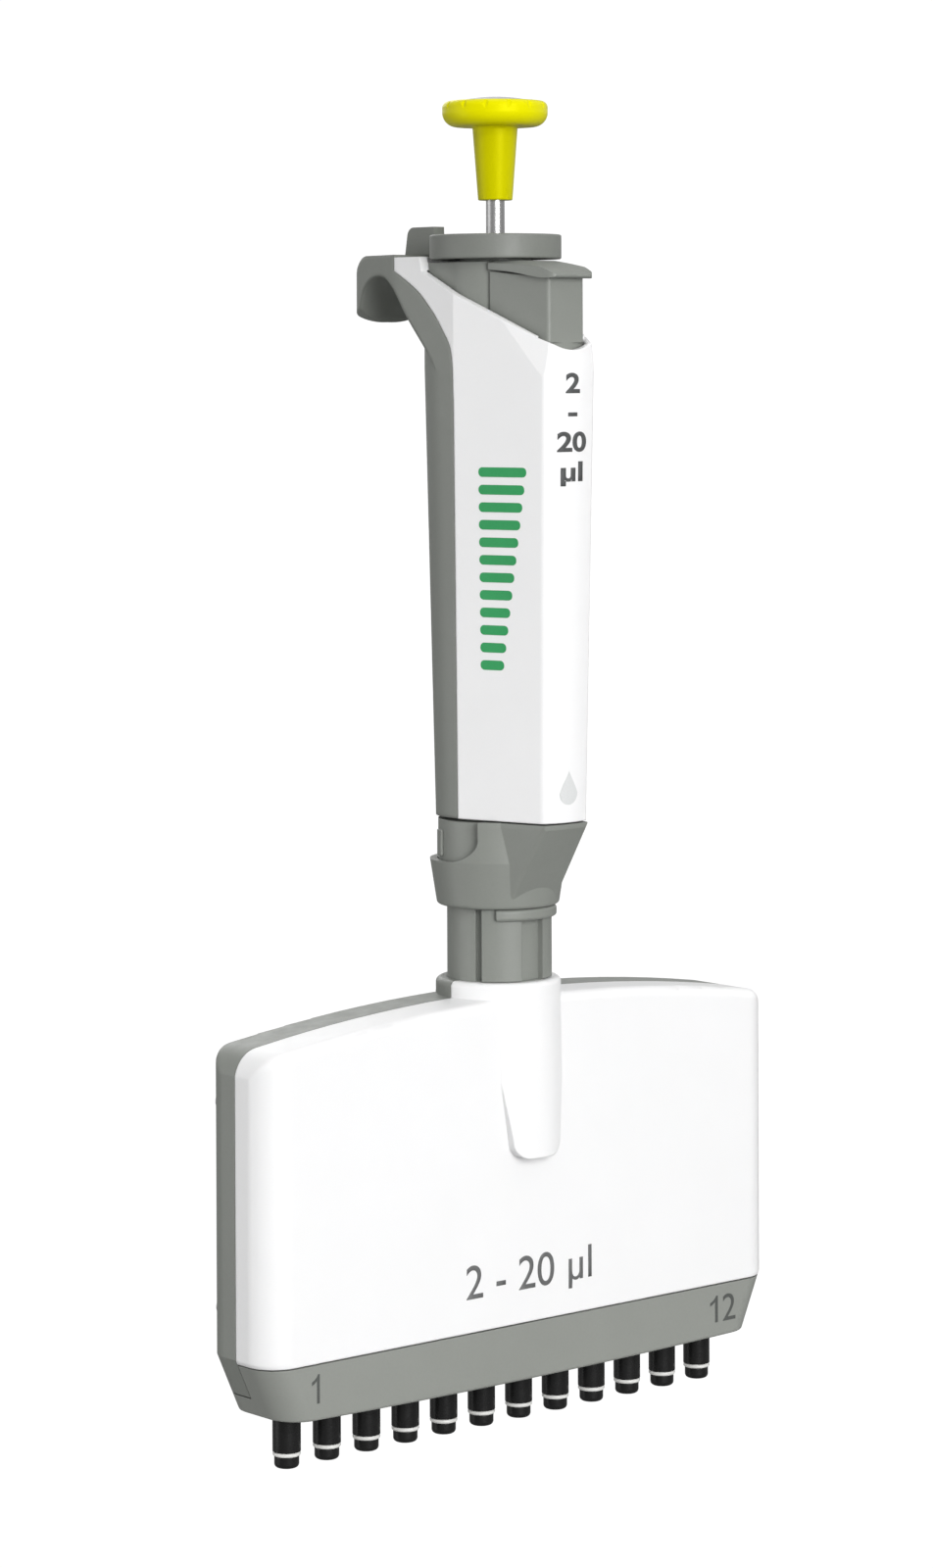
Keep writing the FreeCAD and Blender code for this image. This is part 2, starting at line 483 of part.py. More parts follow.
    # counter window on the right side
    win = box(6, 16, -8.6, -2.4, 174.2, 194.6)
    win = fillet_try(win, [1.5], lambda e: e.BoundBox.XLength > 8, "window")
    shell = shell.cut(win)
    if len(shell.Solids) > 1:
        shell = max(shell.Solids, key=lambda s: s.Volume)
    add("handle_shell", shell)
    lens = handle_loft(170.0, 200.0).cut(handle_loft(169.0, 201.0, HWALL - 0.1)).common(box(6, 16, -8.6, -2.4, 174.2, 194.6))
    lens = [s for s in lens.Solids if s.BoundBox.XMin > 4][0]
    lw = box(6, 16, -8.55, -2.45, 174.25, 194.55)
    lw = fillet_try(lw, [1.48], lambda e: e.BoundBox.XLength > 8, "lens")
    lens = lens.common(lw)
    t_in = handle_loft(170.0, 200.0).cut(handle_loft(169.0, 201.0, 0.3))
    lens = lens.cut(t_in)
    add("counter_window", lens.removeSplitter())
    # ---- grey back cover with the finger hook
    g = 0.10
    back_profile = [line(p(-0.9 + g, HZ0), p(-0.9 + g, 186.0)), seam_curve(g, 0, hx), line(p(15.7 + g, 209.7), p(15.7 + g, 214.0)),
                    line(p(15.7 + g, 214.0), p(40, 214.0)), line(p(40, 214.0), p(40, HZ0)), line(p(40, HZ0), p(-0.9 + g, HZ0))]
    back_zone = yz_prism(back_profile, hx)
    back = body.common(back_zone)
    in_low = handle_loft(HZ0 - 1, 204.5, HWALL)
    back = back.cut(in_low)
    back = back.cut(cyl(CORE_R + 0.3, 190, 215)).cut(cyl(DISC_R + 0.35, DISC_Z0 - 0.5, 216))
    back = back.cut(box(-4.2, 4.2, 8.5, 11.4, 164, 208.5))
    if len(back.Solids) > 1:
        back = max(back.Solids, key=lambda s: s.Volume)
    back = back.removeSplitter()
    add("back_cover_hook", back)


def make_collar():
    z0, z1 = 94.5, 110.3
    c = cone(11.1, 12.4, z0, 102.9).fuse(cyl(12.4, 102.9, z1))
    # prow under the front of the handle: flat flanks that lean in going down
    P = lambda x, y, z: V(x, y, z)

    def quad(x1, y1, x0, yb, z, bow):
        return Part.Wire([arc(P(-x1, y1, z), P(0, y1 - bow, z), P(x1, y1, z)), line(P(x1, y1, z), P(x0, yb, z)),
                          line(P(x0, yb, z), P(-x0, yb, z)), line(P(-x0, yb, z), P(-x1, y1, z))])
    prow = Part.makeLoft([quad(5.63, -8.9, 8.0, -0.3, z0, 0.3), quad(5.2, -18.45, 10.25, -0.9, 109.4, 0.6)], True, True)
    prow = prow.fuse(Part.makeLoft([quad(5.2, -18.45, 10.25, -0.9, 109.4, 0.6), quad(5.2, -18.6, 10.28, -0.9, z1, 0.6)], True, True))
    prow = fillet_try(prow.removeSplitter(), [1.0, 0.7, 0.4], lambda e: zr(e)[1] - zr(e)[0] > 10 and e.BoundBox.YMax < -8, "prow")
    s = c.fuse(prow).removeSplitter()
    s = fillet_try(s, [0.7, 0.5], lambda e: zr(e)[1] < z0 + 0.01, "collar foot")
    s = s.cut(cyl(10.05, 95.8, 102.0)).cut(cyl(11.0, 101.99, z1 + 1)).cut(cyl(8.25, 90, 100))
    hx = 20.0
    p = lambda y, z: V(-hx, y, z)
    notch = yz_prism([line(p(-6.4, 113.0), p(-6.5, 107.6)), spline([(-6.5, 107.6), (-5.9, 105.2), (-3.7, 103.6), (-0.8, 102.9), (2.0, 102.8)], hx),
                      line(p(2.0, 102.8), p(16, 102.8)), line(p(16, 102.8), p(16, 113.0)), line(p(16, 113.0), p(-6.4, 113.0))], hx)
    s = s.cut(notch)
    if len(s.Solids) > 1:
        s = max(s.Solids, key=lambda q: q.Volume)
    add("handle_collar", s)
    b = tube(10.0, 7.98, 95.85, 102.0).fuse(tube(10.85, 7.98, 102.0, 110.1)).removeSplitter()
    for a in (158, 22):
        b = b.fuse(pie(11.35, 103.6, 108.2, a - 5, a + 5).cut(cyl(9.7, 90, 120)))
    # back post that carries the spring barrel
    b = b.fuse(box(-2.0, 2.0, 8.9, 9.9, 108, 131.0)).removeSplitter()
    b = b.cut(cyly(0.9, 8, 12, 0, 129.0))
    add("swivel_bush", b)


def make_top():
    d = cyl(DISC_R, DISC_Z0, DISC_Z1)
    d = fillet_try(d, [0.35], lambda e: e.BoundBox.XLength > 5, "disc")
    # rear arm with an upright tab
    arm = box(-1.25, 1.25, 9.0, 20.0, SHELL_TOP + 0.08, 215.4).cut(box(-2, 2, 15.6, 30, 200, HOOK_TOP + 0.08))
    hx = 1.25
    p = lambda y, z: V(-hx, y, z)
    tab = yz_prism([line(p(24.2, HOOK_TOP + 0.08), p(23.5, 216.7)), arc(p(23.5, 216.7), p(22.9, 217.6), p(21.8, 218.0)), line(p(21.8, 218.0), p(15.9, 218.0)), line(p(15.9, 218.0), p(15.7, HOOK_TOP + 0.08)), line(p(15.7, HOOK_TOP + 0.08), p(24.2, HOOK_TOP + 0.08))], hx)
    d = d.fuse(arm).fuse(tab)
    d = d.cut(cyl(4.3, 205, 220)).cut(cyl(6.6, 211.0, 212.6))
    add("top_cap", d.removeSplitter())
    add("rod_guide_bush", tube(6.5, 4.4, 211.1, 212.6).removeSplitter())
    core = cyl(CORE_R, CORE_Z0, CORE_Z1).cut(cyl(3.3, 190, 215)).cut(cyl(5.6, 206.8, 212))
    core = core.cut(box(-10, 10, 9.0, 12, 190, 215))
    for sx in (-1, 1):
        x0, x1 = (4.4, 9.15) if sx > 0 else (-9.15, -4.4)
        yz = [(1.0, 199.5), (3.7, 202.0), (5.9, 204.3), (8.2, 206.4), (10.6, 208.0), (12.9, 209.4), (8.0, 209.4), (8.0, CORE_Z1), (1.0, CORE_Z1), (1.0, 199.5)]
        core = core.fuse(Part.Face(Part.makePolygon([V(x0, y, z) for (y, z) in yz])).extrude(V(x1 - x0, 0, 0)))
    core = core.removeSplitter()
    core = core.cut(cyl(4.3, 200.0, 212))
    for z in (200.0, 206.0):
        core = core.cut(cyly(0.9, 6.2, 12, 0, z))
    add("core_housing", core)
    br = box(-3.5, 3.5, 9.0, 10.2, 167.0, 208.0)
    for z in (200.0, 206.0, 169.0, 172.5):
        br = br.cut(cyly(0.9, 8, 12, 0, z))
    for z0 in (178.0, 188.0):
        br = br.cut(box(-1.6, 1.6, 8, 12, z0, z0 + 6))
    add("frame_bridge", br)
    fs = []
    for z in (200.0, 206.0, 169.0, 172.5):
        y0 = 6.2 if z > 190 else 7.6
        fs.append(cyly(0.9, y0, 10.2, 0, z).fuse(cyly(1.5, 10.2, 11.0, 0, z)).cut(box(-1.7, 1.7, 10.7, 12, z - 0.2, z + 0.2)).removeSplitter())
    fs.append(cyly(0.9, 7.6, 9.9, 0, 129.0))
    add("frame_screws", fs)
    # spring barrel with its floor
    b = tube(8.4, 7.4, 127.0, 174.0).fuse(tube(8.4, 2.6, 125.0, 127.0))
    b = b.fuse(tube(7.6, 6.0, 167.7, 168.85))
    b = b.fuse(box(-3.5, 3.5, 7.6, 9.0, 167.0, 174.0).cut(cyl(7.5, 160, 180)))
    b = b.fuse(box(-2.0, 2.0, 7.6, 8.9, 126.5, 131.0).cut(cyl(7.5, 120, 180)))
    for z in (129.0, 169.0, 172.5):
        b = b.cut(cyly(0.9, 7.6, 12, 0, z))
    add("spring_barrel", b.removeSplitter())


def make_knob():
    P = lambda r, z: V(r, 0, z)
    zb, zt = KNOB_Z0, KNOB_Z1
    e = [line(P(ROD_R, STEM_Z0), P(STEM_R0 - 0.25, STEM_Z0)), arc(P(STEM_R0 - 0.25, STEM_Z0), P(STEM_R0 - 0.07, STEM_Z0 + 0.07), P(STEM_R0, STEM_Z0 + 0.25)),
         line(P(STEM_R0, STEM_Z0 + 0.25), P(STEM_R1, zb - 0.5)), arc(P(STEM_R1, zb - 0.5), P(STEM_R1 + 0.15, zb - 0.15), P(STEM_R1 + 0.5, zb)),
         line(P(STEM_R1 + 0.5, zb), P(7.5, zb)), arc(P(7.5, zb), P(9.1, zb + 1.0), P(KNOB_R, zb + 2.3)),
         line(P(KNOB_R, zb + 2.3), P(KNOB_R, zb + 3.3)), arc(P(KNOB_R, zb + 3.3), P(9.15, zt - 0.25), P(8.2, zt)),
         line(P(8.2, zt), P(7.0, zt)), line(P(7.0, zt), P(7.0, zt - 1.2)), line(P(7.0, zt - 1.2), P(1.2, zt - 1.2)),
         line(P(1.2, zt - 1.2), P(1.2, 232.0)), line(P(1.2, 232.0), P(ROD_R, 232.0)), line(P(ROD_R, 232.0), P(ROD_R, STEM_Z0))]
    k = Part.Face(Part.Wire(e)).revolve(V(0, 0, 0), V(0, 0, 1), 360)
    for i in range(14):
        a = math.radians(90 + 360.0 * i / 14)
        c = Part.makeCone(0.25, 0.95, 3.6, V(10.25 * math.cos(a), 10.25 * math.sin(a), zb + 1.7), V(-0.12 * math.cos(a), -0.12 * math.sin(a), 1))
        k = k.cut(c)
    add("push_knob", k)
    dome_r = (6.95 ** 2 + 0.75 ** 2) / 1.5
    ball = Part.makeSphere(dome_r, V(0, 0, zt + 0.8 - dome_r), V(1, 0, 0))
    add("knob_insert", cyl(6.95, zt - 1.2, zt + 2.0).common(ball))
    add("plunger_rod", cyl(ROD_R, 128.6, 232.0).fuse(cyl(1.2, 232.0, 236.5)).removeSplitter())
    add("thrust_collar", tube(6.5, ROD_R, 155.0, 158.0).fuse(tube(3.4, ROD_R, 147.5, 155.0)).removeSplitter())
    add("blowout_washer", tube(7.2, 2.4, 134.0, 135.2))
    add("main_spring", helix_spring(5.0, 0.42, 135.2, 155.0, 5.5))
    add("blowout_spring", helix_spring(6.2, 0.5, 127.0, 134.0, 3.5))
    sl = tube(3.2, 1.8, 161.0, 206.5).fuse(tube(5.5, 1.8, 194.5, 195.4))
    add("volume_sleeve", sl.removeSplitter())
    # stop ring: a flange with a skirt that steps down by 0.8 mm every 36 degrees
    ring = cyl(6.8, 169.0, 172.6)
    for i in range(9):
        ring = ring.fuse(pie(5.6, 169.0 - 0.85 * (i + 1), 170.0, 36.0 * i, 36.0 * (i + 1)))
    ring = ring.cut(cyl(3.3, 155, 180)).removeSplitter()
    add("stop_ring", ring)

    def drum(z0, z1, ri):
        s = tube(8.6, ri, z0, z1)
        s = s.cut(tube(7.6, 5.0, z0 - 1, z0 + 1.6))
        for i in range(20):
            a = math.radians(18 * i)
            s = s.cut(cyl(0.22, z0 - 1, z0 + 0.7, 8.6 * math.cos(a), 8.6 * math.sin(a)))
        return s
    add("tenths_drum", drum(175.0, 181.0, 3.2))
    add("units_drum", drum(181.5, 187.5, 3.3))
    add("tens_drum", drum(188.0, 194.0, 3.3))


def make_ejector_button():
    z = 186.0
    q = lambda x, y: V(x, y, z)
    # body: wedge that slides between the core and the shell front
    w0, y0, w1, y1 = 7.2, -6.6, 4.25, -19.2
    t1, m, t2 = corner((-w1, y1), (w1, y1), (w0, y0), 0.8)
    e = [line(q(-t1[0], t1[1]), q(t1[0], t1[1])), arc(q(*t1), q(*m), q(*t2)), line(q(*t2), q(w0, y0)), line(q(w0, y0), q(-w0, y0)),
         line(q(-w0, y0), q(-t2[0], t2[1])), arc(q(-t2[0], t2[1]), q(-m[0], m[1]), q(-t1[0], t1[1]))]
    body = Part.Face(Part.Wire(e)).extrude(V(0, 0, 24))
    hx = 14.0
    p = lambda y, zz: V(-hx, y, zz)
    under = yz_prism([line(p(0, 180), p(-25, 180)), line(p(-25, 180), p(-25, 207.6)), line(p(-25, 207.6), p(-19.0, 208.0)), line(p(-19.0, 208.0), p(0, 210.0)), line(p(0, 210.0), p(0, 180))], hx)
    body = body.common(under)
    # thumb plate: crowned, slopes down to the front and rolls over at its edge
    plate = yz_prism([line(p(-5.0, 211.25), p(-10.5, 211.2)), spline([(-10.5, 211.2), (-14.0, 211.0), (-17.4, 210.2), (-19.9, 209.3), (-21.0, 208.75)], hx),
                      arc(p(-21.0, 208.75), p(-21.2, 208.35), p(-20.9, 208.0)), spline([(-20.9, 208.0), (-19.3, 207.9), (-14.0, 208.7), (-9.0, 209.4), (-5.0, 209.6)], hx), line(p(-5.0, 209.6), p(-5.0, 211.25))], hx)
    z = 200.0
    wa, wbx, yf, rr = 7.55, 4.95, -21.3, 1.6
    a1, am, a2 = corner((-wbx, yf), (wbx, yf), (wa, -6.5), rr)
    outline = Part.Face(Part.Wire([arc(q(-a1[0], a1[1]), q(0, yf - 0.25), q(a1[0], a1[1])), arc(q(*a1), q(*am), q(*a2)), line(q(*a2), q(wa, -6.5)), line(q(wa, -6.5), q(-wa, -6.5)),
                                   line(q(-wa, -6.5), q(-a2[0], a2[1])), arc(q(-a2[0], a2[1]), q(-am[0], am[1]), q(-a1[0], a1[1]))])).extrude(V(0, 0, 14))
    # crown across the width
    crown = Part.makeCylinder(22.0, 40.0, V(0, -26.0, 209.5 - 22.0), V(0, 1, 0.13))
    plate = plate.common(outline).common(crown)
    # the lower part keeps clear of the tapering front wall when pressed
    low_in = handle_loft(170.0, 197.0, HWALL + 0.25)
    low_in.translate(V(0, 0, EJECT + 0.3))
    body = body.cut(box(-20, 20, -30, 0, 175.9, 196.4).cut(low_in))
    s = body.fuse(plate).removeSplitter()
    s = s.cut(cyl(CORE_R + 0.3, 180, 215))
    # hollow underside
    s = s.cut(box(-2.9, 2.9, -17.4, -10.9, 180, 205.5).cut(cyl(2.3, 180, 206, 0, -14.6)))
    s = s.cut(cyl(1.5, 180, 203.5, 0, -14.6))
    if len(s.Solids) > 1:
        s = max(s.Solids, key=lambda v: v.Volume)
    add("ejector_button", s)
    add("ejector_push_rod", cyl(1.5, 124.6, 203.5, 0, -14.6))
    ft = tube(8.2, 4.6, 123.1, 124.6).fuse(box(-2.8, 2.8, -16.4, -6.5, 123.1, 124.6)).cut(cyl(4.6, 120, 130))
    add("ejector_foot", ft.removeSplitter())
    gd = box(-4.3, 4.3, -16.9, -6.0, 157.5, 159.5).cut(cyl(8.4, 150, 165)).cut(cyl(1.65, 150, 165, 0, -14.6))
    add("ejector_guide", gd)
    add("ejector_spring", helix_spring(2.55, 0.3, 159.5, 186.0, 10.0, 0, -14.6))


make_head_covers()
make_head_inside()
make_neck()
make_handle()
make_collar()
make_top()
make_knob()
make_ejector_button()

os.makedirs("parts", exist_ok=True)
for f in os.listdir("parts"):
    if f.endswith(".step"):
        os.remove(os.path.join("parts", f))
for name in sorted(OUT):
    s = OUT[name]
    bb = s.BoundBox
    print("%-22s solids %2d valid %s vol %9.1f  x %.1f..%.1f y %.1f..%.1f z %.1f..%.1f" % (name, len(s.Solids), s.isValid(), s.Volume, bb.XMin, bb.XMax, bb.YMin, bb.YMax, bb.ZMin, bb.ZMax))
    s.exportStep(os.path.join("parts", name + ".step"))
print("nodes", len(OUT))
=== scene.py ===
import bpy, bmesh, math, random
from mathutils import Vector, Matrix, Euler


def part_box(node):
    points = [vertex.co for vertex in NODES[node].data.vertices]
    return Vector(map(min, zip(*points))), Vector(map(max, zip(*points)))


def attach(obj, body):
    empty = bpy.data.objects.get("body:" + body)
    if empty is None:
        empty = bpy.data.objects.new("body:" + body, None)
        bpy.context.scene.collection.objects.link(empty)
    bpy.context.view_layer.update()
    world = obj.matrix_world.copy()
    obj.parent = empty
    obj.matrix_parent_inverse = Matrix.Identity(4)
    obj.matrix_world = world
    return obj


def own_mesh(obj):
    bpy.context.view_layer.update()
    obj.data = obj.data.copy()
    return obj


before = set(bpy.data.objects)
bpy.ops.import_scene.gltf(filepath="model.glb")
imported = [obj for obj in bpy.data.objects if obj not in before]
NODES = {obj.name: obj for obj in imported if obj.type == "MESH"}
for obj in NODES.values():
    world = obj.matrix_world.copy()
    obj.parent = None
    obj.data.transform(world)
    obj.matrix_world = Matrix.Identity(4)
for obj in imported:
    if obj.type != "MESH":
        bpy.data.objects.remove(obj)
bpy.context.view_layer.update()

MM = 0.001
random.seed(7)

# ----------------------------------------------------------------- camera
TH = math.radians(41.0) - 0.006112
DIST = 0.77427
F_PX = 4339.66
AX = 5.3759 * MM
ZC = 193.79 * MM
PITCH = 0.0080725
ROLL = -0.004008
right = Vector((math.cos(TH), -math.sin(TH), 0))
fwd = Vector((math.sin(TH), math.cos(TH), 0))
cam_pos = -fwd * DIST - right * AX + Vector((0, 0, ZC))
cam_data = bpy.data.cameras.new("camera")
cam = bpy.data.objects.new("camera", cam_data)
bpy.context.scene.collection.objects.link(cam)
bpy.context.scene.camera = cam
cam_data.sensor_width = 36.0
cam_data.sensor_fit = "AUTO"
cam_data.lens = F_PX / 1600.0 * 36.0
SHIFT_Y = -0.25
pitch = PITCH
cam_data.shift_y = SHIFT_Y
cam_data.shift_x = 0.0
cam_data.clip_start, cam_data.clip_end = 0.05, 50.0
look = fwd * math.cos(pitch) - Vector((0, 0, 1)) * math.sin(pitch)
cam.location = cam_pos
cam.rotation_mode = "QUATERNION"
cam.rotation_quaternion = look.to_track_quat("-Z", "Y") @ Euler((0, 0, ROLL)).to_quaternion()
cam_data.dof.use_dof = False

# ------------------------------------------------------------ node helpers
def new_mat(name):
    m = bpy.data.materials.new(name)
    m.use_nodes = True
    nt = m.node_tree
    b = nt.nodes["Principled BSDF"]
    return m, nt, b


def N(nt, kind, **kw):
    n = nt.nodes.new(kind)
    for k, v in kw.items():
        if k in n.inputs:
            n.inputs[k].default_value = v
        else:
            setattr(n, k, v)
    return n


def ramp(nt, a, b, pa=0.35, pb=0.65):
    r = nt.nodes.new("ShaderNodeValToRGB")
    r.color_ramp.elements[0].position, r.color_ramp.elements[0].color = pa, a
    r.color_ramp.elements[1].position, r.color_ramp.elements[1].color = pb, b
    return r


def plastic(name, col, rough, grain=2600.0, grain_bump=0.04, edge=0.00022, vary=0.05, spec=0.5, coat=0.0, sss=0.0):
    """Moulded plastic: fine spark-eroded grain, faint flow variation, rubbed spots and softened edges."""
    m, nt, b = new_mat(name)
    L = nt.links.new
    tc = N(nt, "ShaderNodeTexCoord")
    big = N(nt, "ShaderNodeTexNoise", Scale=55.0, Detail=3.0, Roughness=0.55)
    fine = N(nt, "ShaderNodeTexNoise", Scale=grain, Detail=2.0, Roughness=0.6)
    mid = N(nt, "ShaderNodeTexNoise", Scale=420.0, Detail=4.0, Roughness=0.6)
    for n in (big, fine, mid):
        L(tc.outputs["Object"], n.inputs["Vector"])
    dark = tuple(c * (1 - vary) for c in col) + (1,)
    lite = tuple(min(1.0, c * (1 + vary)) for c in col) + (1,)
    r1 = ramp(nt, dark, lite, 0.25, 0.75)
    L(big.outputs["Fac"], r1.inputs["Fac"])
    mix = N(nt, "ShaderNodeMixRGB", blend_type="MULTIPLY")
    mix.inputs["Fac"].default_value = 1.0
    r2 = ramp(nt, (1 - vary * 0.8,) * 3 + (1,), (1, 1, 1, 1), 0.3, 0.6)
    L(fine.outputs["Fac"], r2.inputs["Fac"])
    L(r1.outputs["Color"], mix.inputs["Color1"])
    L(r2.outputs["Color"], mix.inputs["Color2"])
    L(mix.outputs["Color"], b.inputs["Base Color"])
    rr = N(nt, "ShaderNodeMapRange")
    rr.inputs["From Min"].default_value, rr.inputs["From Max"].default_value = 0.3, 0.7
    rr.inputs["To Min"].default_value, rr.inputs["To Max"].default_value = rough - 0.06, rough + 0.07
    L(mid.outputs["Fac"], rr.inputs["Value"])
    L(rr.outputs["Result"], b.inputs["Roughness"])
    bev = N(nt, "ShaderNodeBevel", samples=6)
    bev.inputs["Radius"].default_value = edge
    bump = N(nt, "ShaderNodeBump")
    bump.inputs["Strength"].default_value = grain_bump
    bump.inputs["Distance"].default_value = 0.00006
    L(fine.outputs["Fac"], bump.inputs["Height"])
    L(bev.outputs["Normal"], bump.inputs["Normal"])
    L(bump.outputs["Normal"], b.inputs["Normal"])
    b.inputs["Specular IOR Level"].default_value = spec
    b.inputs["IOR"].default_value = 1.49
    if coat:
        b.inputs["Coat Weight"].default_value = coat
        b.inputs["Coat Roughness"].default_value = 0.12
    if sss:
        b.inputs["Subsurface Weight"].default_value = sss
        b.inputs["Subsurface Radius"].default_value = (1.0, 0.9, 0.8)
        b.inputs["Subsurface Scale"].default_value = 0.0006
    return m


def metal(name, col, rough, lines=True, axis="Z", edge=0.00012, scale=900.0):
    """Turned or drawn metal: fine lines round or along the axis, uneven roughness."""
    m, nt, b = new_mat(name)
    L = nt.links.new
    tc = N(nt, "ShaderNodeTexCoord")
    mp = N(nt, "ShaderNodeMapping")
    sc = {"Z": (1.0, 1.0, 14.0), "X": (14.0, 1.0, 1.0), "N": (1, 1, 1)}[axis]
    mp.inputs["Scale"].default_value = sc
    L(tc.outputs["Object"], mp.inputs["Vector"])
    n1 = N(nt, "ShaderNodeTexNoise", Scale=scale, Detail=3.0, Roughness=0.65)
    L(mp.outputs["Vector"], n1.inputs["Vector"])
    n2 = N(nt, "ShaderNodeTexNoise", Scale=130.0, Detail=4.0, Roughness=0.6)
    L(tc.outputs["Object"], n2.inputs["Vector"])
    r = ramp(nt, tuple(c * 0.82 for c in col) + (1,), tuple(min(1, c * 1.06) for c in col) + (1,), 0.3, 0.7)
    L(n2.outputs["Fac"], r.inputs["Fac"])
    L(r.outputs["Color"], b.inputs["Base Color"])
    rr = N(nt, "ShaderNodeMapRange")
    rr.inputs["From Min"].default_value, rr.inputs["From Max"].default_value = 0.3, 0.7
    rr.inputs["To Min"].default_value, rr.inputs["To Max"].default_value = max(0.04, rough - 0.07), rough + 0.08
    L(n1.outputs["Fac"], rr.inputs["Value"])
    L(rr.outputs["Result"], b.inputs["Roughness"])
    b.inputs["Metallic"].default_value = 1.0
    bev = N(nt, "ShaderNodeBevel", samples=4)
    bev.inputs["Radius"].default_value = edge
    bump = N(nt, "ShaderNodeBump")
    bump.inputs["Strength"].default_value = 0.12 if lines else 0.04
    bump.inputs["Distance"].default_value = 0.00003
    L(n1.outputs["Fac"], bump.inputs["Height"])
    L(bev.outputs["Normal"], bump.inputs["Normal"])
    L(bump.outputs["Normal"], b.inputs["Normal"])
    return m


WHITE = plastic("white_shell", (0.80, 0.80, 0.803), 0.36, grain=3000.0, grain_bump=0.05, edge=0.00045, vary=0.012, spec=0.4, sss=0.04)
GREY = plastic("grey_shell", (0.214, 0.225, 0.206), 0.42, grain=2600.0, grain_bump=0.16, edge=0.0003, vary=0.035, spec=0.4)
# the ejector bar's grey is the shell grey made lighter: painted light for the stronger light on its front face
GREY_BAR_PAINTED_LIGHT = plastic("grey_bar_painted_light", (0.250, 0.260, 0.240), 0.42, grain=2600.0, grain_bump=0.16, edge=0.0003, vary=0.035, spec=0.4)
GREY_HOOK = plastic("grey_back_cover", (0.214, 0.225, 0.206), 0.42, grain=2600.0, grain_bump=0.16, edge=0.0010, vary=0.035, spec=0.4)
# the top disc's grey is the shell grey made darker: painted shade to take back the brightness the key light gives
# it
GREY_TOP_PAINTED_SHADE = plastic("grey_disc_painted_shade", (0.178, 0.187, 0.171), 0.48, grain=2600.0, grain_bump=0.14, edge=0.0003, vary=0.035, spec=0.4)
BLACK = plastic("black_nozzle", (0.009, 0.009, 0.009), 0.26, grain=2400.0, grain_bump=0.06, edge=0.00018, vary=0.12, spec=0.3)
YELLOW = plastic("yellow_knob", (0.60, 0.57, 0.0), 0.36, grain=2600.0, grain_bump=0.08, edge=0.0003, vary=0.03, spec=0.4)
YELLOW.node_tree.nodes["Principled BSDF"].inputs["Specular Tint"].default_value = (1.0, 0.93, 0.03, 1.0)
# painted highlight and shade: the base colour is made brighter on the rim and darker on the stem than the lights
# alone make them, to match the photograph
_nt = YELLOW.node_tree
_b = _nt.nodes["Principled BSDF"]
_src = _b.inputs["Base Color"].links[0].from_socket
_tc = N(_nt, "ShaderNodeTexCoord")
_sep = N(_nt, "ShaderNodeSeparateXYZ")
_nt.links.new(_tc.outputs["Generated"], _sep.inputs["Vector"])
_painted_light_ramp = ramp(_nt, (0.86, 0.86, 0.86, 1), (1.16, 1.16, 1.16, 1), 0.66, 0.76)
_nt.links.new(_sep.outputs["Z"], _painted_light_ramp.inputs["Fac"])
_mx = N(_nt, "ShaderNodeMixRGB", blend_type="MULTIPLY")
_mx.inputs["Fac"].default_value = 1.0
_nt.links.new(_src, _mx.inputs["Color1"])
_nt.links.new(_painted_light_ramp.outputs["Color"], _mx.inputs["Color2"])
_nt.links.new(_mx.outputs["Color"], _b.inputs["Base Color"])
INSERT = plastic("knob_insert_grey", (0.46, 0.47, 0.48), 0.4, grain=2200.0, grain_bump=0.12, edge=0.0002, vary=0.04)
NATURAL = plastic("natural_acetal", (0.78, 0.76, 0.68), 0.42, grain=1800.0, grain_bump=0.1, vary=0.04, sss=0.1)
DRUM = plastic("drum_white", (0.80, 0.80, 0.78), 0.5, grain=2200.0, grain_bump=0.08, vary=0.03)
RING = plastic("pale_ring", (0.70, 0.70, 0.68), 0.42, grain=1800.0, grain_bump=0.1, edge=0.00008, vary=0.04)
RUBBER = plastic("dark_rubber", (0.03, 0.03, 0.032), 0.62, grain=1500.0, grain_bump=0.2, vary=0.1, spec=0.3)
STEEL = metal("polished_steel", (0.52, 0.52, 0.52), 0.30, axis="Z")
SCREW = metal("screw_steel", (0.45, 0.45, 0.46), 0.3, axis="N")
ALU = metal("machined_aluminium", (0.74, 0.75, 0.76), 0.34, axis="X")
BRASS = metal("turned_brass", (0.66, 0.50, 0.22), 0.28, axis="Z")
INK = plastic("printed_ink", (0.075, 0.078, 0.078), 0.5, grain=3500.0, grain_bump=0.1, edge=0.00002, vary=0.12, spec=0.3)
INK_BAR = plastic("printed_ink_bar", (0.085, 0.09, 0.085), 0.52, grain=3500.0, grain_bump=0.1, edge=0.00002, vary=0.12, spec=0.3)
INK_HEAD = plastic("printed_ink_head", (0.13, 0.132, 0.132), 0.5, grain=3500.0, grain_bump=0.1, edge=0.00002, vary=0.12, spec=0.3)
GREEN = plastic("printed_green", (0.02, 0.30, 0.09), 0.42, grain=3500.0, grain_bump=0.1, edge=0.00002, vary=0.08, spec=0.35)
PALE = plastic("printed_pale", (0.62, 0.63, 0.63), 0.42, grain=3500.0, grain_bump=0.1, edge=0.00002, vary=0.06, spec=0.35)

GLASS, nt, b = new_mat("window_clear")
b.inputs["Base Color"].default_value = (0.95, 0.97, 0.98, 1)
b.inputs["Transmission Weight"].default_value = 1.0
b.inputs["IOR"].default_value = 1.49
tc = N(nt, "ShaderNodeTexCoord")
gn = N(nt, "ShaderNodeTexNoise", Scale=700.0, Detail=3.0)
nt.links.new(tc.outputs["Object"], gn.inputs["Vector"])
gr = N(nt, "ShaderNodeMapRange")
gr.inputs["To Min"].default_value, gr.inputs["To Max"].default_value = 0.02, 0.10
nt.links.new(gn.outputs["Fac"], gr.inputs["Value"])
nt.links.new(gr.outputs["Result"], b.inputs["Roughness"])

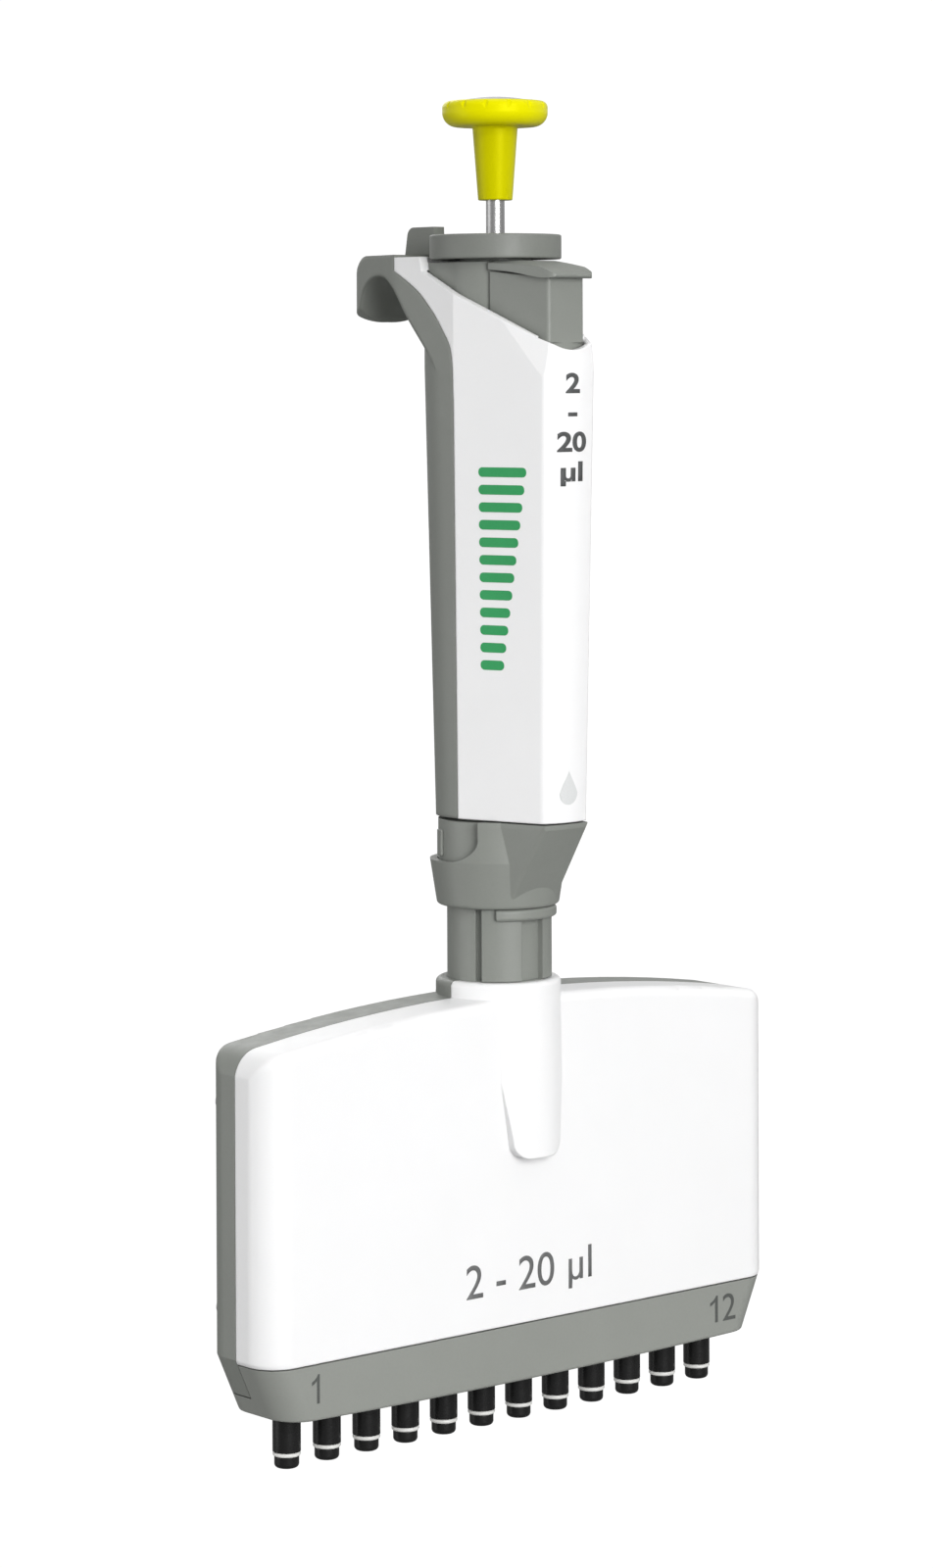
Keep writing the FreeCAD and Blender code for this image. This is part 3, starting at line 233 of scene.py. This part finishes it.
BY_NODE = {
    "handle_shell": WHITE, "head_front_cover": WHITE,
    "ejector_bar": GREY_BAR_PAINTED_LIGHT,
    "nozzles": BLACK, "ejector_frame": BLACK, "nozzle_orings": RING, "piston_seals": RUBBER,
    "push_knob": YELLOW, "knob_insert": INSERT, "counter_window": GLASS,
    "tenths_drum": DRUM, "units_drum": DRUM, "tens_drum": DRUM,
    # the rod guide bush under the disc takes the shell grey instead of brass: painted shade for the dark line there
    "volume_sleeve": BRASS, "stop_ring": BRASS, "rod_guide_bush": GREY,
}
for n in ("back_cover_hook", "handle_collar", "swivel_bush", "top_cap", "core_housing", "neck_sleeve", "head_back_cover", "ejector_button"):
    BY_NODE[n] = GREY
BY_NODE["back_cover_hook"] = GREY_HOOK
BY_NODE["top_cap"] = GREY_TOP_PAINTED_SHADE
for n in ("plunger_rod", "pistons", "guide_rods", "ejector_push_rod", "main_spring", "blowout_spring", "ejector_spring", "drive_rod", "neck_retaining_ring"):
    BY_NODE[n] = STEEL
for n in ("cover_screws", "ejector_bar_screws", "carrier_screws", "frame_screws"):
    BY_NODE[n] = SCREW
for n in ("cylinder_block", "seal_retainer_plate", "piston_carrier", "piston_clamp_plate", "frame_bridge", "spring_barrel"):
    BY_NODE[n] = ALU
for n in ("thrust_collar", "blowout_washer", "ejector_foot", "ejector_guide", "ejector_tube"):
    BY_NODE[n] = NATURAL
for name, o in NODES.items():
    m = BY_NODE[name]
    if not o.material_slots:
        o.data.materials.append(m)
    for s in o.material_slots:
        s.material = m

# --------------------------------------------------------------- printed marks
def text_mesh(name, txt, height, bold=0.0, cuts=1.2):
    """Flat glyphs as a mesh at font size 1, as the font lays them out; the height argument is not used."""
    cu = bpy.data.curves.new(name + "_cu", "FONT")
    cu.body = txt
    cu.size = 1.0
    cu.offset = bold
    cu.resolution_u = 8
    o = bpy.data.objects.new(name + "_tmp", cu)
    bpy.context.scene.collection.objects.link(o)
    bpy.context.view_layer.update()
    me = bpy.data.meshes.new_from_object(o.evaluated_get(bpy.context.evaluated_depsgraph_get()))
    bpy.data.objects.remove(o)
    bpy.data.curves.remove(cu)
    return me


ONE = [(0.38, 0.0), (0.38, 1.0), (0.30, 1.0), (0.24, 0.91), (0.14, 0.825), (0.0, 0.755), (0.0, 0.632), (0.13, 0.69), (0.245, 0.775), (0.245, 0.0)]


def one_mesh(name, with_two, bold):
    """A figure one with a flag, alone or before a figure two."""
    me = text_mesh(name, "2", 1.0, bold) if with_two else bpy.data.meshes.new(name)
    bm = bmesh.new()
    bm.from_mesh(me)
    if with_two:
        xs = [v.co.x for v in bm.verts]
        ys = [v.co.y for v in bm.verts]
        y0, k = min(ys), max(ys) - min(ys)
        x0 = min(xs) - 0.62 * k
    else:
        x0, y0, k = 0.0, 0.0, 1.0
    bm.faces.new([bm.verts.new((x0 + px * k, y0 + py * k, 0.0)) for (px, py) in ONE])
    bm.to_mesh(me)
    bm.free()
    return me


def glyphs(name, txt, width=None, height=None, bold=0.0, squeeze=1.0):
    me = one_mesh(name, txt == "12", bold) if txt in ("1", "12") else text_mesh(name, txt, 1.0, bold)
    xs = [v.co.x for v in me.vertices]
    ys = [v.co.y for v in me.vertices]
    w, h = max(xs) - min(xs), max(ys) - min(ys)
    cx, cy = (max(xs) + min(xs)) / 2, (max(ys) + min(ys)) / 2
    ky = height / h
    kx = width / w if width else ky * squeeze
    bm = bmesh.new()
    bm.from_mesh(me)
    for v in bm.verts:
        v.co = Vector(((v.co.x - cx) * kx, 0.0, (v.co.y - cy) * ky))
    bmesh.ops.triangulate(bm, faces=bm.faces[:])
    long = [e for e in bm.edges if e.calc_length() > 0.0009]
    if long:
        bmesh.ops.subdivide_edges(bm, edges=long, cuts=2, use_grid_fill=False)
    bmesh.ops.triangulate(bm, faces=[f for f in bm.faces if len(f.verts) > 3])
    bm.to_mesh(me)
    bm.free()
    return me


def decal(name, me, place, mat, body, thick=0.00003):
    """place maps a flat (x, z) point to (point on the surface, outward normal). Prints a thin film there."""
    bm = bmesh.new()
    bm.from_mesh(me)
    norms = {}
    for v in bm.verts:
        p, n = place(v.co.x, v.co.z)
        norms[v] = n
        v.co = p + n * thick
    bm.normal_update()
    if bm.faces:
        f = max(bm.faces, key=lambda q: q.calc_area())
        if f.normal.dot(norms[f.verts[0]]) < 0:
            bmesh.ops.reverse_faces(bm, faces=bm.faces[:])
    # closed film: a skirt down to just under the surface
    top = bm.faces[:]
    border = [e for e in bm.edges if len(e.link_faces) == 1]
    r = bmesh.ops.extrude_edge_only(bm, edges=border)
    nv = [g for g in r["geom"] if isinstance(g, bmesh.types.BMVert)]
    for v in nv:
        src = min(norms, key=lambda q: (q.co - v.co).length_squared)
        v.co = v.co - norms[src] * (thick * 1.6)
    bm.to_mesh(me)
    bm.free()
    me.materials.clear()
    me.materials.append(mat)
    o = bpy.data.objects.new(name, me)
    bpy.context.scene.collection.objects.link(o)
    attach(o, body)
    return o


def plane_place(origin, ux, uz, n):
    return lambda x, z: (origin + ux * x + uz * z, n)


X, Y, Z = Vector((1, 0, 0)), Vector((0, 1, 0)), Vector((0, 0, 1))
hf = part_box("head_front_cover")
HEAD_Y = -9.0 * MM
# range marking on the head
decal("range_mark", glyphs("range_mark", "2 - 20 µl", width=30.2 * MM, height=7.5 * MM, bold=0.002), plane_place(Vector((-0.6 * MM, HEAD_Y, 27.9 * MM)), X, Z, -Y), INK_HEAD, "head")
# channel numbers on the ejector bar
decal("channel_first", glyphs("channel_first", "1", height=5.1 * MM, squeeze=0.9), plane_place(Vector((-50.1 * MM, HEAD_Y, 15.3 * MM)), X, Z, -Y), INK_BAR, "tip_ejector")
decal("channel_last", glyphs("channel_last", "12", height=5.0 * MM, width=6.6 * MM), plane_place(Vector((47.8 * MM, HEAD_Y, 14.9 * MM)), X, Z, -Y), INK_BAR, "tip_ejector")


def strip(zmid):
    """Front face of the handle: a shallow bow across its width, leaning back towards the foot."""
    def f(x, z):
        zz = zmid + z
        t = min(1.0, max(0.0, (zz / MM - 110.6) / (192.0 - 110.6)))
        wf = (5.2 + 0.8 * t) * MM
        fp = (18.6 + 1.7 * t) * MM
        bow = 0.7 * MM * (1 - (x / wf) ** 2)
        slope = 1.4 * MM * x / wf / wf
        n = Vector((slope, -1.0, 0.0)).normalized()
        return Vector((x, -fp - bow, zz)), n
    return f


decal("volume_low", glyphs("volume_low", "2", height=3.65 * MM, squeeze=1.42, bold=0.03), strip(189.2 * MM), INK, "handle")
decal("volume_dash", glyphs("volume_dash", "-", height=0.7 * MM, width=2.2 * MM, bold=0.02), strip(183.6 * MM), INK, "handle")
decal("volume_high", glyphs("volume_high", "20", height=3.65 * MM, squeeze=1.45, bold=0.03), strip(178.7 * MM), INK, "handle")
decal("volume_unit", glyphs("volume_unit", "µl", height=4.4 * MM, squeeze=1.6, bold=0.03), strip(173.0 * MM), INK, "handle")


def rbar(w, h, r, cx, cz, seg=6):
    pts = []
    for (sx, sz, a0) in ((1, 1, 0), (-1, 1, 90), (-1, -1, 180), (1, -1, 270)):
        for i in range(seg + 1):
            a = math.radians(a0 + 90.0 * i / seg)
            pts.append((cx + sx * (w / 2 - r) + r * math.cos(a), cz + sz * (h / 2 - r) + r * math.sin(a)))
    return pts


def shapes_mesh(name, outlines):
    me = bpy.data.meshes.new(name)
    bm = bmesh.new()
    for pts in outlines:
        vs = [bm.verts.new((p[0], 0, p[1])) for p in pts]
        bm.faces.new(vs)
    bmesh.ops.triangulate(bm, faces=bm.faces[:])
    bm.to_mesh(me)
    bm.free()
    return me


# twelve plain bars, one a channel, on the left flank of the handle
def flank(x, z):
    """Left flank of the handle, x runs from back to front."""
    zz = z
    t = min(1.0, max(0.0, (zz / MM - 110.6) / (192.0 - 110.6)))
    wf, fp, wb = 5.2 + 0.8 * t, 18.6 + 1.7 * t, 10.3 + 0.7 * t
    y = -x / MM
    k = (wb - wf) / (fp - 0.9)
    xx = wf + (fp + y) * k
    n = Vector((-1.0, -k, 0.0)).normalized()
    return Vector((-xx * MM, y * MM, zz)), n


bars = []
for i in range(12):
    zc = (138.6 + i * 3.15) * MM
    w = (4.4 + 5.6 * (i + 1) / 12.0) * MM
    bars.append(rbar(w, 1.75 * MM, 0.8 * MM, (6.0 * MM + w / 2), zc))
decal("channel_bars", shapes_mesh("channel_bars", bars), flank, GREEN, "handle")
# a plain drop low on the front strip
drop = []
for i in range(40):
    a = 2 * math.pi * i / 40
    r = 2.1 * MM
    x = r * math.cos(a)
    z = r * math.sin(a)
    if z > 0:
        k = z / r
        x *= (1 - k) ** 0.75 if k < 1 else 0.0
        z = z * 1.9
    drop.append((x, z))
clean = []
for p_ in drop:
    if not clean or (Vector(p_) - Vector(clean[-1])).length > 1e-5:
        clean.append(p_)
decal("drop_mark", shapes_mesh("drop_mark", [clean]), strip(115.9 * MM), PALE, "handle")

# ------------------------------------------------------------- counter digits
def wrap(r, zmid, a0):
    def f(x, z):
        a = a0 + x / r
        n = Vector((math.cos(a), math.sin(a), 0))
        return n * r + Z * (zmid + z), n
    return f


def digits(name, body, zmid, count):
    parts = []
    for i in range(count):
        me = glyphs("%s_%d" % (name, i), str(i), height=3.2 * MM, squeeze=0.9, bold=0.01)
        a0 = math.radians(-32.0) + 2 * math.pi * i / count
        parts.append(decal("%s_%d" % (name, i), me, wrap(8.6 * MM, zmid, a0), INK, body, thick=0.00002))
    return parts


digits("tens_digit", "tens_counter", 191.5 * MM, 10)
digits("units_digit", "units_counter", 185.0 * MM, 10)
digits("tenths_digit", "volume_drive", 178.5 * MM, 10)

# ------------------------------------------------------------ floor and light
floor_me = bpy.data.meshes.new("floor")
bm = bmesh.new()
bmesh.ops.create_circle(bm, cap_ends=True, segments=96, radius=9.0)
bm.to_mesh(floor_me)
bm.free()
floor = bpy.data.objects.new("floor", floor_me)
bpy.context.scene.collection.objects.link(floor)
floor.location = (0, 0, -0.12)
fm, nt, b = new_mat("floor_white")
tc = N(nt, "ShaderNodeTexCoord")
fn = N(nt, "ShaderNodeTexNoise", Scale=3.0, Detail=2.0)
nt.links.new(tc.outputs["Object"], fn.inputs["Vector"])
r = ramp(nt, (0.22, 0.22, 0.22, 1), (0.27, 0.27, 0.27, 1))
nt.links.new(fn.outputs["Fac"], r.inputs["Fac"])
nt.links.new(r.outputs["Color"], b.inputs["Base Color"])
b.inputs["Roughness"].default_value = 0.9
b.inputs["Specular IOR Level"].default_value = 0.1
fe = N(nt, "ShaderNodeEmission", Strength=1.05)
flp = N(nt, "ShaderNodeLightPath")
fmx = N(nt, "ShaderNodeMixShader")
nt.links.new(flp.outputs["Is Camera Ray"], fmx.inputs["Fac"])
nt.links.new(b.outputs["BSDF"], fmx.inputs[1])
nt.links.new(fe.outputs["Emission"], fmx.inputs[2])
nt.links.new(fmx.outputs["Shader"], nt.nodes["Material Output"].inputs["Surface"])
floor_me.materials.append(fm)

world = bpy.data.worlds.new("studio")
bpy.context.scene.world = world
world.use_nodes = True
wn = world.node_tree
bg = wn.nodes["Background"]
bg.inputs["Color"].default_value = (1, 1, 1, 1)
bg.inputs["Strength"].default_value = 1.0
wtc = wn.nodes.new("ShaderNodeTexCoord")
wsx = wn.nodes.new("ShaderNodeSeparateXYZ")
wmr = wn.nodes.new("ShaderNodeMapRange")
wmr.inputs["From Min"].default_value, wmr.inputs["From Max"].default_value = -1.0, 1.0
wrp = wn.nodes.new("ShaderNodeValToRGB")
for k_, (p_, v_) in enumerate(((0.0, 0.22), (0.42, 0.38), (0.55, 0.56), (1.0, 0.66))):
    e_ = wrp.color_ramp.elements[k_] if k_ < 2 else wrp.color_ramp.elements.new(p_)
    e_.position, e_.color = p_, (v_, v_, v_, 1)
wn.links.new(wtc.outputs["Generated"], wsx.inputs["Vector"])
wn.links.new(wsx.outputs["Z"], wmr.inputs["Value"])
wn.links.new(wmr.outputs["Result"], wrp.inputs["Fac"])
wn.links.new(wrp.outputs["Color"], bg.inputs["Color"])
bg2 = wn.nodes.new("ShaderNodeBackground")
bg2.inputs["Color"].default_value = (1, 1, 1, 1)
bg2.inputs["Strength"].default_value = 1.05
lp = wn.nodes.new("ShaderNodeLightPath")
mx = wn.nodes.new("ShaderNodeMixShader")
wn.links.new(lp.outputs["Is Camera Ray"], mx.inputs["Fac"])
wn.links.new(bg.outputs["Background"], mx.inputs[1])
wn.links.new(bg2.outputs["Background"], mx.inputs[2])
wn.links.new(mx.outputs["Shader"], wn.nodes["World Output"].inputs["Surface"])


def area(name, loc, size, power, target=(0, 0, 0.12), size_y=None):
    l = bpy.data.lights.new(name, "AREA")
    l.energy = power
    l.shape = "RECTANGLE"
    l.size = size
    l.size_y = size_y or size
    o = bpy.data.objects.new(name, l)
    bpy.context.scene.collection.objects.link(o)
    o.location = loc
    o.rotation_mode = "QUATERNION"
    o.rotation_quaternion = (Vector(target) - Vector(loc)).to_track_quat("-Z", "Y")
    return o


area("key_front", (-0.34, -1.32, 0.42), 0.8, 18.3, target=(0, 0, 0.08))
area("fill_left", (-1.05, 0.75, 0.02), 0.9, 2.7, target=(0, 0, 0.1))
area("low_left", (-0.42, 0.22, 0.015), 0.2, 0.25, target=(-0.03, 0.01, 0.12))
area("top", (0.0, 0.1, 1.4), 0.9, 2.4)
area("back", (0.5, 1.3, 0.8), 0.9, 4.0)

# the springs shorten onto their fixed lower ends as the plunger and the thumb button go down; here each spring only
# gets its own copy of its mesh data
for node, joint, travel, foot in (("main_spring", "plunger_press", 0.012, 0.1352), ("ejector_spring", "ejector_press", 0.0055, 0.1595)):
    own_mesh(NODES[node])

bpy.context.scene.view_settings.view_transform = "Standard"
bpy.context.scene.view_settings.look = "None"

bpy.context.view_layer.update()
